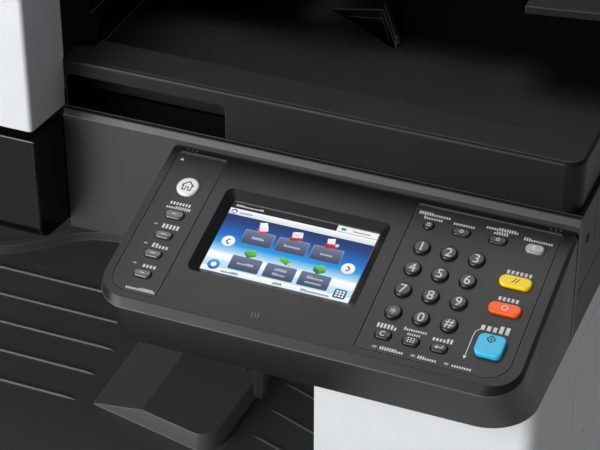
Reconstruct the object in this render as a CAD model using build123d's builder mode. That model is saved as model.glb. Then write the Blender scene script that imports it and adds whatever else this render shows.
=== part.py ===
"""Compact A3 photocopier: paper cassette, in-body output tray, flatbed scanner, document feeder
and a tilted operation panel with a touch display.

Millimetres. +X is to the operator's right, +Y to the back, +Z up. The origin is the centre of
the footprint, on the floor. Panel pieces are drawn on panel_plane, which lies in the panel's
top surface with its centre at the middle of the display area.
"""
from build123d import *
from math import cos, radians, sin, tan
import os

os.makedirs("parts", exist_ok=True)

# Overall size
WIDTH, DEPTH, HEIGHT = 590.0, 590.0, 748.0
SIDE, BACK = WIDTH / 2, DEPTH / 2
SKIN = 6.0                  # thickness of the outer covers
JOINT_GAP = 0.4             # gap between neighbouring covers

# Levels
FOOT_HEIGHT = 10.0
CASSETTE_BOTTOM, CASSETTE_TOP = 22.0, 180.0
COVER_BOTTOM, COVER_TOP = 185.0, 386.0
FRAME_TOP = 388.0
DECK_LEVEL = 420.0          # sheet support of the output tray
SCANNER_BOTTOM, SCANNER_TOP = 532.4, 622.0
LID_BOTTOM, LID_TOP = 623.0, 656.5

# Front planes
BASE_FRONT = -285.0
COLUMN_FRONT = -243.0
SCANNER_FRONT = -173.5
FEEDER_FRONT = -214.0
LID_FRONT = -168.7
COLUMN_LEFT = 155.0         # left face of the paper column
FEEDER_RIGHT = -45.0        # right face of the document feeder

# Operation panel
PANEL_TILT = 16.0
PANEL_CENTRE = (135.0, -233.0, 597.0)
tilt_cos, tilt_sin = cos(radians(PANEL_TILT)), sin(radians(PANEL_TILT))
panel_plane = Plane(origin=PANEL_CENTRE, x_dir=(1, 0, 0), z_dir=(0, -tilt_sin, tilt_cos))
panel_normal = Axis(PANEL_CENTRE, (0, -tilt_sin, tilt_cos))
BEZEL_THICKNESS = 3.9
MASK_THICKNESS = 1.6
MASK_GAP = 0.55
KEY_GAP = 0.35
KEY_FLANGE = 1.0
FLANGE_TOP, FLANGE_BOTTOM = -1.9, -3.1


def save(builder, name):
    """Label a finished piece and write it."""
    builder.part.label = name
    export_step(builder.part, f"parts/{name}.step")


def save_together(builders, name):
    """Write the solids of several builders, fused nowhere, as one piece."""
    solids = [solid for builder in builders for solid in builder.part.solids()]
    piece = Compound(solids)
    piece.label = name
    export_step(piece, f"parts/{name}.step")


def block(low, high, mode=Mode.ADD):
    """An axis-parallel box between two corners, in the active part."""
    with Locations([tuple((a + b) / 2 for a, b in zip(low, high))]):
        Box(*(b - a for a, b in zip(low, high)), mode=mode)


def prism_x(points, x_low, x_high, mode=Mode.ADD):
    """A (y, z) outline drawn out along X, in the active part."""
    with BuildSketch(Plane.YZ.offset(x_low)) as outline:
        with BuildLine():
            Polyline(*points, close=True)
        make_face()
    extrude(outline.sketch, amount=x_high - x_low, mode=mode)


def prism_y(points, y_low, y_high, mode=Mode.ADD):
    """An (x, z) outline drawn out along Y, in the active part."""
    with BuildSketch(Plane.XZ.offset(-y_low)) as outline:
        with BuildLine():
            Polyline(*points, close=True)
        make_face()
    extrude(outline.sketch, amount=y_low - y_high, mode=mode)


# ---------------------------------------------------------------- base frame
# One welded chassis: a floor, walls round the cassette bay and the toner bay, the paper
# column on the right and the rear box that carries the scanner.
FRAME_FRONT = -262.0
FRAME_SIDE = SIDE - SKIN
BAY_HALF = 262.0
BAY_BACK = 262.0
TONER_BAY = ((-210.0, 150.0), (200.0, 376.0))
TONER_BAY_BACK = -20.0
REAR_BOX_FRONT = 150.0
COLUMN_WALL = 158.0
EXIT_SLOT_LEVEL = 438.0
LEVER_PIVOT = (148.0, 512.0)
LEVER_Y = -216.0
SWITCH_CENTRE = (-190.0, 300.0)
INLET_CENTRE = (200.0, 90.0)
AIR_SLOTS = 14
REAR_SEAM = 390.0
REAR_SCREWS = [(x, z) for z in (40.0, 372.0) for x in (-270.0, -90.0, 90.0, 270.0)]
DOOR_FRONT, DOOR_BACK = -150.0, 214.0
DOOR_BOTTOM, DOOR_TOP = 190.0, 516.0
DOOR_THICKNESS = 13.0
DOOR_INNER = SIDE - DOOR_THICKNESS

with BuildPart() as base_frame:
    block((-FRAME_SIDE, FRAME_FRONT, FOOT_HEIGHT), (FRAME_SIDE, BACK, FRAME_TOP))
    block((COLUMN_WALL, COLUMN_FRONT + SKIN, FRAME_TOP), (FRAME_SIDE, BACK, SCANNER_BOTTOM))
    block((-FRAME_SIDE, REAR_BOX_FRONT, FRAME_TOP), (COLUMN_WALL, BACK, SCANNER_BOTTOM))
    # cassette bay
    block((-BAY_HALF, FRAME_FRONT, CASSETTE_BOTTOM), (BAY_HALF, BAY_BACK, CASSETTE_TOP),
          Mode.SUBTRACT)
    # toner bay, and the machine room behind it
    (bay_left, bay_right), (bay_bottom, bay_top) = TONER_BAY
    block((bay_left, FRAME_FRONT, bay_bottom), (bay_right, TONER_BAY_BACK, bay_top),
          Mode.SUBTRACT)
    block((-270, -5, bay_bottom), (150, 270, bay_top), Mode.SUBTRACT)
    # recess of the side door, the paper path behind it, and the hollow of the rear box
    block((DOOR_INNER - JOINT_GAP, DOOR_FRONT - 0.6, DOOR_BOTTOM - 0.6),
          (FRAME_SIDE, DOOR_BACK + 3, DOOR_TOP + 0.6), Mode.SUBTRACT)
    block((175, DOOR_FRONT + 12, DOOR_BOTTOM + 10), (FRAME_SIDE, DOOR_BACK - 12, DOOR_TOP - 8),
          Mode.SUBTRACT)
    block((-270, REAR_BOX_FRONT + 10, bay_top + 24), (150, 280, SCANNER_BOTTOM - 12),
          Mode.SUBTRACT)
    # exit slot towards the output tray
    block((COLUMN_WALL - 5, -150, EXIT_SLOT_LEVEL), (180, 148, EXIT_SLOT_LEVEL + 16),
          Mode.SUBTRACT)
    # pockets for the switch and the inlet
    block((FRAME_SIDE - 14, SWITCH_CENTRE[0] - 12, SWITCH_CENTRE[1] - 16),
          (FRAME_SIDE, SWITCH_CENTRE[0] + 12, SWITCH_CENTRE[1] + 16), Mode.SUBTRACT)
    block((INLET_CENTRE[0] - 16, BACK - 24, INLET_CENTRE[1] - 13),
          (INLET_CENTRE[0] + 16, BACK, INLET_CENTRE[1] + 13), Mode.SUBTRACT)
    # rear air slots, cover seam and screw recesses
    for slot in range(AIR_SLOTS):
        block((-230 + 12 * slot, BACK - 3, 290), (-224 + 12 * slot, BACK, 345), Mode.SUBTRACT)
    block((-FRAME_SIDE, BACK - 1, REAR_SEAM), (FRAME_SIDE, BACK, REAR_SEAM + 1), Mode.SUBTRACT)
    with BuildSketch(Plane.XZ.offset(-BACK)):
        with Locations(*REAR_SCREWS):
            Circle(5)
    extrude(amount=3, mode=Mode.SUBTRACT)
save(base_frame, "base_frame")

# ---------------------------------------------------------------- feet
with BuildPart() as feet:
    with BuildSketch(Plane.XY):
        with GridLocations(470, 440, 2, 2):
            Circle(19)
    extrude(amount=FOOT_HEIGHT)
    chamfer(feet.edges().group_by(Axis.Z)[0], length=1.5)
save(feet, "feet")

# ---------------------------------------------------------------- paper cassette
# Front panel with a finger grip, and an open sheet tray behind it.
TRAY_HALF = 252.0
TRAY_BACK = 228.0
TRAY_WALL = 3.0
GRIP_HALF = 70.0
PANEL_BACK = FRAME_FRONT - 1.0

with BuildPart() as paper_cassette:
    block((-SIDE, BASE_FRONT, CASSETTE_BOTTOM + 2), (SIDE, PANEL_BACK, CASSETTE_TOP))
    fillet(paper_cassette.edges().filter_by(Axis.Z).group_by(Axis.Y)[0], radius=10)
    block((-GRIP_HALF, BASE_FRONT, 136), (GRIP_HALF, PANEL_BACK - 4, 164), Mode.SUBTRACT)
    block((-TRAY_HALF, PANEL_BACK, CASSETTE_BOTTOM + 2), (TRAY_HALF, TRAY_BACK, 100))
    block((-TRAY_HALF + TRAY_WALL, PANEL_BACK + TRAY_WALL, CASSETTE_BOTTOM + 5),
          (TRAY_HALF - TRAY_WALL, TRAY_BACK - TRAY_WALL, 100), Mode.SUBTRACT)
save(paper_cassette, "paper_cassette")

# ---------------------------------------------------------------- front cover
# Swings forward on its lower edge to reach the toner container.
with BuildPart() as front_cover:
    block((-SIDE, BASE_FRONT, COVER_BOTTOM), (SIDE, FRAME_FRONT - 1, COVER_TOP))
    fillet(front_cover.edges().filter_by(Axis.Z).group_by(Axis.Y)[0], radius=10)
    block((-SIDE + 12, BASE_FRONT + 4, COVER_BOTTOM + 8),
          (SIDE - 12, FRAME_FRONT - 1, COVER_TOP - 8), Mode.SUBTRACT)
    # finger grip under the top edge
    block((-45, BASE_FRONT, COVER_TOP - 22), (45, BASE_FRONT + 14, COVER_TOP - 12), Mode.SUBTRACT)
save(front_cover, "front_cover")

# ---------------------------------------------------------------- left and right covers
COVER_SHELL_FRONT = FRAME_FRONT - 0.6

with BuildPart() as left_cover:
    block((-SIDE, COVER_SHELL_FRONT, 12), (-FRAME_SIDE, BACK, FRAME_TOP))
    block((-SIDE, REAR_BOX_FRONT, FRAME_TOP), (-FRAME_SIDE, BACK, SCANNER_BOTTOM))
    for slot in range(12):
        block((-SIDE, 60 + 14 * slot, 300), (-SIDE + 3, 66 + 14 * slot, 352), Mode.SUBTRACT)
save(left_cover, "left_cover")

COLUMN_CORNER = 10.0
SIDE_SEAM = COLUMN_FRONT + COLUMN_CORNER

with BuildPart() as right_cover:
    block((FRAME_SIDE, COVER_SHELL_FRONT, 12), (SIDE, BACK, FRAME_TOP))
    block((FRAME_SIDE, SIDE_SEAM + JOINT_GAP, FRAME_TOP), (SIDE, BACK, SCANNER_BOTTOM))
    block((FRAME_SIDE, DOOR_FRONT - 0.6, DOOR_BOTTOM - 0.6), (SIDE, DOOR_BACK + 3, DOOR_TOP + 0.6),
          Mode.SUBTRACT)
    block((FRAME_SIDE, SWITCH_CENTRE[0] - 12, SWITCH_CENTRE[1] - 16),
          (SIDE, SWITCH_CENTRE[0] + 12, SWITCH_CENTRE[1] + 16), Mode.SUBTRACT)
save(right_cover, "right_cover")

# ---------------------------------------------------------------- column cover
# Front of the paper column, wrapped round its right corner.
with BuildPart() as column_cover:
    with BuildSketch(Plane.XY.offset(FRAME_TOP)):
        with BuildLine():
            Polyline((COLUMN_LEFT, COLUMN_FRONT), (SIDE - COLUMN_CORNER, COLUMN_FRONT))
            RadiusArc((SIDE - COLUMN_CORNER, COLUMN_FRONT), (SIDE, SIDE_SEAM), -COLUMN_CORNER)
            Polyline((SIDE, SIDE_SEAM), (FRAME_SIDE, SIDE_SEAM),
                     (FRAME_SIDE, COLUMN_FRONT + SKIN), (COLUMN_WALL, COLUMN_FRONT + SKIN),
                     (COLUMN_WALL, -150), (COLUMN_LEFT, -150), (COLUMN_LEFT, COLUMN_FRONT))
        make_face()
    extrude(amount=SCANNER_BOTTOM - FRAME_TOP)

# bracket on its left face: two ears and the pin of the tray-full lever
EAR_SPACING = 16.0
PIN_RADIUS = 1.5

with BuildPart() as lever_bracket:
    for ear_y in (LEVER_Y - EAR_SPACING / 2, LEVER_Y + EAR_SPACING / 2):
        block((LEVER_PIVOT[0] - 5, ear_y - 1.5, LEVER_PIVOT[1] - 6),
              (COLUMN_LEFT, ear_y + 1.5, LEVER_PIVOT[1] + 6))
    with BuildSketch(Plane.XZ.offset(-(LEVER_Y - EAR_SPACING / 2))):
        with Locations([LEVER_PIVOT]):
            Circle(PIN_RADIUS)
    extrude(amount=-EAR_SPACING)
save_together((column_cover, lever_bracket), "column_cover")

# ---------------------------------------------------------------- side door and bypass tray
POCKET_FRONT, POCKET_BACK, POCKET_BOTTOM, POCKET_TOP = -115.0, 175.0, 228.0, 420.0
POCKET_FLOOR = SIDE - 9.0

with BuildPart() as side_door:
    block((DOOR_INNER, DOOR_FRONT, DOOR_BOTTOM), (SIDE, DOOR_BACK, DOOR_TOP))
    block((POCKET_FLOOR, POCKET_FRONT, POCKET_BOTTOM), (SIDE, POCKET_BACK, POCKET_TOP),
          Mode.SUBTRACT)
    # catch grip near the front edge
    block((SIDE - 8, DOOR_FRONT + 8, 320), (SIDE, DOOR_FRONT + 26, 370), Mode.SUBTRACT)
    # inner sheet guides
    for guide in range(7):
        y = DOOR_FRONT + 40 + 46 * guide
        block((DOOR_INNER - 8, y, 230), (DOOR_INNER, y + 3, 480))
save(side_door, "side_door")

with BuildPart() as bypass_tray:
    block((POCKET_FLOOR + 0.5, POCKET_FRONT + 0.6, POCKET_BOTTOM + 4.0),
          (SIDE - 0.3, POCKET_BACK - 0.6, POCKET_TOP - 0.8))
    fillet(bypass_tray.edges().filter_by(Axis.X).group_by(Axis.Z)[-1], radius=8)
    block((SIDE - 5, -25, POCKET_TOP - 16), (SIDE, 85, POCKET_TOP - 6), Mode.SUBTRACT)
    for rib in range(5):
        y = POCKET_FRONT + 35 + 54 * rib
        block((POCKET_FLOOR + 0.5, y, 250), (POCKET_FLOOR + 2.5, y + 30, 400), Mode.SUBTRACT)
save(bypass_tray, "bypass_tray")

# ---------------------------------------------------------------- output tray
# A moulded deck: level on the left with low ribs, falling to the right towards the exit slot,
# with a raised pad in the middle and a low curved wall at the rear left.
DECK_THICKNESS = 4.0
DECK_FALL = 0.373
FALL_START = 84.0
DECK_BACK = REAR_BOX_FRONT - 0.3
deck_right = COLUMN_LEFT - JOINT_GAP
deck_low = DECK_LEVEL - DECK_FALL * (deck_right - FALL_START)
RIB_SPACING = 29.2
RIB_FRONT = -212.3
RIB_END = -27.0
PAD_HEIGHT = 12.0
WALL_HEIGHT, WALL_THICKNESS = 7.0, 6.0
WALL_LINE = ((-290, -90), (-200, -89), (-157, -81), (-133, -64), (-109, -43), (-83, -35), (30, -34))
PIT_RIGHT, PIT_BACK, PIT_DEPTH = -122.0, 60.0, 15.0


def deck_height(x):
    """Height of the sheet surface at x."""
    return DECK_LEVEL - DECK_FALL * max(0.0, x - FALL_START)


def tapered_rib(x_low, x_high, y, height):
    """A low rib along X on the deck, with ends that run out into the surface."""
    run = 9.0
    points = [(x_low, deck_height(x_low) - 1), (x_low, deck_height(x_low)),
              (x_low + run, deck_height(x_low + run) + height),
              (x_high - run, deck_height(x_high - run) + height),
              (x_high, deck_height(x_high)), (x_high, deck_height(x_high) - 1)]
    prism_y(points, y - 0.8, y + 0.8)


with BuildPart() as output_tray:
    prism_y([(-SIDE, DECK_LEVEL - DECK_THICKNESS), (-SIDE, DECK_LEVEL), (FALL_START, DECK_LEVEL),
             (deck_right, deck_low), (deck_right, deck_low - DECK_THICKNESS),
             (FALL_START, DECK_LEVEL - DECK_THICKNESS)], BASE_FRONT, DECK_BACK)
    # skirts down to the covers
    block((-SIDE, BASE_FRONT, FRAME_TOP + JOINT_GAP), (-SIDE + 4, DECK_BACK, DECK_LEVEL))
    prism_y([(-SIDE, COVER_TOP + 1), (-SIDE, DECK_LEVEL), (FALL_START, DECK_LEVEL),
             (FALL_START + (DECK_LEVEL - COVER_TOP - 1) / DECK_FALL, COVER_TOP + 1)],
            BASE_FRONT, BASE_FRONT + 4)
    for step in range(5):
        tapered_rib(-SIDE + 6, RIB_END, RIB_FRONT + RIB_SPACING * step, 1.2)
    for step in range(8):
        tapered_rib(93, 150, RIB_FRONT + RIB_SPACING * (step + 0.5), 1.2)
    # curved wall at the rear left, with a pit behind it
    with BuildSketch(Plane.XY.offset(DECK_LEVEL - 1)):
        with BuildLine():
            Spline(*WALL_LINE)
            Spline(*[(x, y + WALL_THICKNESS) for x, y in WALL_LINE])
            for x, y in (WALL_LINE[0], WALL_LINE[-1]):
                Line((x, y), (x, y + WALL_THICKNESS))
        make_face()
    extrude(amount=WALL_HEIGHT + 1)
    block((-SIDE + 1, -76, DECK_LEVEL - PIT_DEPTH - 4), (PIT_RIGHT + 4, PIT_BACK + 4, DECK_LEVEL))
    with BuildSketch(Plane.XY.offset(DECK_LEVEL)):
        with BuildLine():
            Polyline((-SIDE + 5, -74), (-165, -74), (PIT_RIGHT, -42), (PIT_RIGHT, PIT_BACK),
                     (-SIDE + 5, PIT_BACK), close=True)
        make_face()
    extrude(amount=-PIT_DEPTH, mode=Mode.SUBTRACT)

# raised pad let into the deck: ramp on the left, level top, drafted front and right walls
with BuildPart() as tray_pad:
    with BuildSketch(Plane.XY.offset(DECK_LEVEL - 20)):
        with BuildLine():
            FilletPolyline((-18.5, -50), (-18.5, -214.5), (82, -236), (90, -50), radius=(5, 16))
            Line((90, -50), (-18.5, -50))
        make_face()
    extrude(amount=20 + PAD_HEIGHT, taper=8)
    prism_y([(-30, DECK_LEVEL), (-18.5, DECK_LEVEL), (24, DECK_LEVEL + PAD_HEIGHT),
             (24, DECK_LEVEL + 40), (-30, DECK_LEVEL + 40)], -245, -45, Mode.SUBTRACT)
    block((-30, -245, DECK_LEVEL - 21), (100, -40, DECK_LEVEL - 3), Mode.SUBTRACT)
    add(output_tray.part, mode=Mode.SUBTRACT)
save_together((output_tray, tray_pad), "output_tray")

# ---------------------------------------------------------------- tray-full lever
# A light arm that hangs over the deck from a pin beside the exit slot.
LEVER_OUTLINE = ((144.5, 513), (98, 505), (97.5, 487), (100.5, 487), (101.5, 497), (105, 497),
                 (105.5, 469), (110.5, 469), (111.5, 498), (148, 508.5))
LEVER_HALF = 4.5
PIN_FIT = 0.05

with BuildPart() as paper_full_lever:
    with BuildSketch(Plane.XZ.offset(-(LEVER_Y - LEVER_HALF))):
        with Locations([LEVER_PIVOT]):
            Circle(4)
        with BuildLine():
            Polyline(*LEVER_OUTLINE, close=True)
        make_face()
        with Locations([LEVER_PIVOT]):
            Circle(PIN_RADIUS + PIN_FIT, mode=Mode.SUBTRACT)
    extrude(amount=-2 * LEVER_HALF)
save(paper_full_lever, "paper_full_lever")

# ---------------------------------------------------------------- toner container
TONER_RADIUS = 46.0

with BuildPart() as toner_container:
    with BuildSketch(Plane.XZ.offset(250)):
        with Locations((-30, 300)):
            RectangleRounded(2.6 * TONER_RADIUS, 2 * TONER_RADIUS, 30)
    extrude(amount=-205)
    with BuildSketch(Plane.XZ.offset(257)):
        with Locations((-30, 300)):
            RectangleRounded(60, 26, 12)
    extrude(amount=-8)
    block((-80, -245, 209), (20, -60, 250))
    block((-70, -235, 249), (10, -70, 256))
save(toner_container, "toner_container")

# ---------------------------------------------------------------- power switch and inlet
with BuildPart() as power_switch:
    switch_y, switch_z = SWITCH_CENTRE
    prism_y([(SIDE - 9, switch_z - 11), (SIDE - 2.6, switch_z - 11.5), (SIDE - 4.2, switch_z),
             (SIDE - 1.2, switch_z + 11.5), (SIDE - 9, switch_z + 11)],
            switch_y - 10, switch_y + 10)
save(power_switch, "power_switch")

with BuildPart() as power_inlet:
    inlet_x, inlet_z = INLET_CENTRE
    block((inlet_x - 15.6, BACK - 23, inlet_z - 12.6), (inlet_x + 15.6, BACK, inlet_z + 12.6))
    block((inlet_x - 12, BACK - 17, inlet_z - 8), (inlet_x + 12, BACK, inlet_z + 8),
          Mode.SUBTRACT)
    for pin_x, pin_z in ((-7, -2), (0, 2), (7, -2)):
        block((inlet_x + pin_x - 1, BACK - 17.5, inlet_z + pin_z - 2),
              (inlet_x + pin_x + 1, BACK - 6, inlet_z + pin_z + 2))
save(power_inlet, "power_inlet")

# ---------------------------------------------------------------- scanner housing
# A closed box with a rebate for the glass and a hollow for the carriage.
HOUSING_FRONT = SCANNER_FRONT + 5.2
GLASS_HALF = 262.0
GLASS_FRONT, GLASS_BACK = -132.0, 258.0
GLASS_THICKNESS = 4.0
HINGE_AXIS = (284.0, 628.0)         # y and z of the lid's pivot
HINGE_X = (-200.0, 200.0)
HINGE_PIN = 3.0

with BuildPart() as scanner_housing:
    block((-SIDE, HOUSING_FRONT, SCANNER_BOTTOM), (SIDE, BACK, SCANNER_TOP))
    block((-GLASS_HALF, GLASS_FRONT, SCANNER_TOP - GLASS_THICKNESS - 0.3),
          (GLASS_HALF, GLASS_BACK, SCANNER_TOP), Mode.SUBTRACT)
    block((-GLASS_HALF + 8, GLASS_FRONT + 8, SCANNER_BOTTOM + 10),
          (GLASS_HALF - 8, GLASS_BACK - 8, SCANNER_TOP - GLASS_THICKNESS), Mode.SUBTRACT)
    # seam grooves on the right side
    block((SIDE - 0.8, HOUSING_FRONT + 32, 585), (SIDE, HOUSING_FRONT + 33, SCANNER_TOP - 6),
          Mode.SUBTRACT)
    block((SIDE - 0.8, HOUSING_FRONT, 565), (SIDE, BACK, 566), Mode.SUBTRACT)
    # dimple over a cover screw
    with BuildSketch(Plane.YZ.offset(SIDE)):
        with Locations((HOUSING_FRONT + 15.5, 597)):
            Circle(3.5)
    extrude(amount=-1, mode=Mode.SUBTRACT)
save(scanner_housing, "scanner_housing")

with BuildPart() as platen_glass:
    block((-GLASS_HALF + 0.4, GLASS_FRONT + 0.4, SCANNER_TOP - GLASS_THICKNESS - 0.3),
          (GLASS_HALF - 0.4, GLASS_BACK - 0.4, SCANNER_TOP - 0.3))
save(platen_glass, "platen_glass")

CARRIAGE_REST = -240.0

with BuildPart() as scan_carriage:
    block((CARRIAGE_REST, GLASS_FRONT + 14, 560), (CARRIAGE_REST + 40, GLASS_BACK - 14, 598))
    prism_y([(CARRIAGE_REST + 2, 598), (CARRIAGE_REST + 15, 598), (CARRIAGE_REST + 12, 611),
             (CARRIAGE_REST + 2, 611)], GLASS_FRONT + 18, GLASS_BACK - 18)
    prism_y([(CARRIAGE_REST + 25, 598), (CARRIAGE_REST + 38, 598), (CARRIAGE_REST + 38, 611),
             (CARRIAGE_REST + 28, 611)], GLASS_FRONT + 18, GLASS_BACK - 18)
save(scan_carriage, "scan_carriage")

with BuildPart() as scanner_front_cover:
    block((FEEDER_RIGHT + JOINT_GAP, SCANNER_FRONT, SCANNER_BOTTOM),
          (SIDE, HOUSING_FRONT, SCANNER_TOP - 0.7))
    chamfer(scanner_front_cover.edges().filter_by(Axis.X).group_by(Axis.Z)[-1]
            .sort_by(Axis.Y)[0], length=3.6, length2=2.4)
save(scanner_front_cover, "scanner_front_cover")

# Glossy block in front of the scanner's left part, under the feeder.
with BuildPart() as scanner_left_cover:
    with BuildSketch(Plane.YZ.offset(-SIDE)):
        with BuildLine():
            Polyline((HOUSING_FRONT, 614.7), (FEEDER_FRONT + 1.5, 619), (FEEDER_FRONT + 1.5, 556))
            RadiusArc((FEEDER_FRONT + 1.5, 556), (FEEDER_FRONT + 17, 541), -16)
            Polyline((FEEDER_FRONT + 17, 541), (HOUSING_FRONT, 537), (HOUSING_FRONT, 614.7))
        make_face()
    extrude(amount=FEEDER_RIGHT + SIDE)
    fillet(scanner_left_cover.faces().sort_by(Axis.X)[-1].edges(), radius=1.6)
    block((-SIDE + 5, FEEDER_FRONT + 6, 560), (FEEDER_RIGHT - 5, HOUSING_FRONT, 610),
          Mode.SUBTRACT)
save(scanner_left_cover, "scanner_left_cover")

# ---------------------------------------------------------------- platen cover
# The lid over the glass. Its right part is the feeder's output tray, falling to the left.
LID_SIDE = 292.3
RIM = 29.0
TRAY_LEFT_LEVEL, TRAY_EDGE = 636.0, 249.0
FEEDER_SEAT = 634.0
RECESS_LEFT, RECESS_RIGHT, RECESS_TOP, RECESS_BACK = FEEDER_RIGHT + 2, 66.0, 646.0, -144.0
tray_front = LID_FRONT + RIM
tray_slope = (LID_TOP - TRAY_LEFT_LEVEL) / (TRAY_EDGE - FEEDER_RIGHT)
STOPPER_FOOT = ((138.5, -66.0), (113.0, -20.0), (84.0, -27.0))
PAD_BOX = ((-256.0, -130.0), (256.0, 252.0))


def tray_height(x):
    """Height of the feeder's output tray at x."""
    return LID_TOP - tray_slope * (TRAY_EDGE - x)


with BuildPart() as platen_cover:
    block((FEEDER_RIGHT + JOINT_GAP, LID_FRONT, LID_BOTTOM), (LID_SIDE, HINGE_AXIS[0], LID_TOP))
    fillet(platen_cover.edges().filter_by(Axis.Z).group_by(Axis.X)[-1].sort_by(Axis.Y)[0], radius=11)
    fillet(platen_cover.faces().sort_by(Axis.Z)[-1].edges().sort_by(Axis.Y)[0:1], radius=2.4)
    block((-SIDE + 2, LID_FRONT, LID_BOTTOM), (FEEDER_RIGHT + JOINT_GAP, HINGE_AXIS[0], FEEDER_SEAT))
    prism_y([(FEEDER_RIGHT, TRAY_LEFT_LEVEL), (TRAY_EDGE, LID_TOP), (TRAY_EDGE, LID_TOP + 20),
             (FEEDER_RIGHT, LID_TOP + 20)], tray_front, 258, Mode.SUBTRACT)
    # finger recess in the front edge
    with BuildSketch(Plane.XZ.offset(-LID_FRONT)):
        with BuildLine():
            FilletPolyline((RECESS_LEFT, LID_BOTTOM), (RECESS_LEFT, RECESS_TOP),
                           (RECESS_RIGHT, RECESS_TOP), (RECESS_RIGHT, LID_BOTTOM), radius=4)
            Line((RECESS_RIGHT, LID_BOTTOM), (RECESS_LEFT, LID_BOTTOM))
        make_face()
    extrude(amount=-(RECESS_BACK - LID_FRONT), mode=Mode.SUBTRACT)
    # notch where the rim meets the feeder
    block((FEEDER_RIGHT, tray_front - 12, LID_TOP - 6), (FEEDER_RIGHT + 13, tray_front, LID_TOP),
          Mode.SUBTRACT)
    # seat of the white pad
    (pad_left, pad_front), (pad_right, pad_back) = PAD_BOX
    block((pad_left, pad_front, LID_BOTTOM), (pad_right, pad_back, LID_BOTTOM + 2.4),
          Mode.SUBTRACT)
    # pocket of the document stopper
    with BuildSketch(Plane.XY.offset(LID_TOP)):
        with BuildLine():
            Polyline(*STOPPER_FOOT, close=True)
        make_face()
        offset(amount=1.5)
    extrude(amount=-(LID_TOP - tray_height(STOPPER_FOOT[2][0]) + 5), mode=Mode.SUBTRACT)
    # hinge notches and bores
    for hinge_x in HINGE_X:
        block((hinge_x - 12, HINGE_AXIS[0] - 14, LID_BOTTOM), (hinge_x + 12, HINGE_AXIS[0], LID_TOP),
              Mode.SUBTRACT)
        with BuildSketch(Plane.YZ.offset(hinge_x - 22)):
            with Locations(HINGE_AXIS):
                Circle(HINGE_PIN + PIN_FIT)
        extrude(amount=44, mode=Mode.SUBTRACT)
save(platen_cover, "platen_cover")

with BuildPart() as platen_pad:
    block((pad_left + 0.5, pad_front + 0.5, SCANNER_TOP + 0.3),
          (pad_right - 0.5, pad_back - 0.5, LID_BOTTOM + 2.4))
save(platen_pad, "platen_pad")

with BuildPart() as cover_hinges:
    for hinge_x in HINGE_X:
        with BuildSketch(Plane.YZ.offset(hinge_x - 11)):
            with Locations(HINGE_AXIS):
                Circle(5.6)
            with Locations((HINGE_AXIS[0] + 0.5, (SCANNER_TOP + HINGE_AXIS[1]) / 2)):
                Rectangle(10, HINGE_AXIS[1] - SCANNER_TOP)
        extrude(amount=22)
        with BuildSketch(Plane.YZ.offset(hinge_x - 21)):
            with Locations(HINGE_AXIS):
                Circle(HINGE_PIN)
        extrude(amount=42)
save(cover_hinges, "cover_hinges")

# ---------------------------------------------------------------- document stopper
# A low plate that stands on the long edge of its pocket, and folds over it.
FLAP_THICKNESS = 2.4
FLAP_HEIGHT = 4.5
FLAP_EDGE = 1.8
foot_front, foot_back = Vector(*STOPPER_FOOT[0]), Vector(*STOPPER_FOOT[1])
foot_line = (foot_back - foot_front).normalized()
flap_plane = Plane(origin=(foot_front.X, foot_front.Y, tray_height(foot_front.X) + 0.6),
                   x_dir=(foot_line.X, foot_line.Y, 0), z_dir=(-foot_line.Y, foot_line.X, 0))
flap_length = (foot_back - foot_front).length

with BuildPart() as document_stopper:
    with BuildSketch(flap_plane.offset(-FLAP_THICKNESS - FLAP_EDGE)):
        with BuildLine():
            Polyline((1, 0), (flap_length - 1, 0), (flap_length - 1, -FLAP_HEIGHT),
                     (5, -FLAP_HEIGHT), (1, -1.5), close=True)
        make_face()
    extrude(amount=FLAP_THICKNESS)
save(document_stopper, "document_stopper")

# ---------------------------------------------------------------- document feeder
FEEDER_BACK = HINGE_AXIS[0]
CAP_BACK = -167.0
BLOCK_FRONT_END, BLOCK_BACK_START = -128.0, 222.0
FEED_LEVEL, THROAT_TOP = 667.0, 690.0
EXIT_BOTTOM, EXIT_TOP = 638.0, 658.0
FEEDER_TOP = HEIGHT
TOP_COVER_BOTTOM = 688.0
THROAT_DEPTH = 62.0
CORNER_LEFT, CORNER_RIGHT = 26.0, 7.0


def feeder_end(y_low, y_high):
    """One full-height end block of the feeder, between two y values."""
    with BuildSketch(Plane.XZ.offset(-y_low)) as outline:
        with BuildLine():
            FilletPolyline((-SIDE, FEEDER_SEAT), (-SIDE, FEEDER_TOP), (FEEDER_RIGHT, FEEDER_TOP),
                           (FEEDER_RIGHT, FEEDER_SEAT), radius=(CORNER_LEFT, CORNER_RIGHT))
            Line((FEEDER_RIGHT, FEEDER_SEAT), (-SIDE, FEEDER_SEAT))
        make_face()
    extrude(outline.sketch, amount=y_low - y_high)


# white cap over the feeder's front end
with BuildPart() as feeder_front_cap:
    feeder_end(FEEDER_FRONT, CAP_BACK)
    # overhang in front of the lid, its underside rising to the front
    prism_x([(LID_FRONT - JOINT_GAP, FEEDER_SEAT), (LID_FRONT - JOINT_GAP, 622.9),
             (FEEDER_FRONT, 627.2), (FEEDER_FRONT, FEEDER_SEAT)], -SIDE, FEEDER_RIGHT)
    fillet(feeder_front_cap.faces().sort_by(Axis.Y)[0].edges().filter_by(
        lambda edge: edge.center().Z > FEEDER_SEAT + 5), radius=3.0)
save(feeder_front_cap, "feeder_front_cap")

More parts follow.
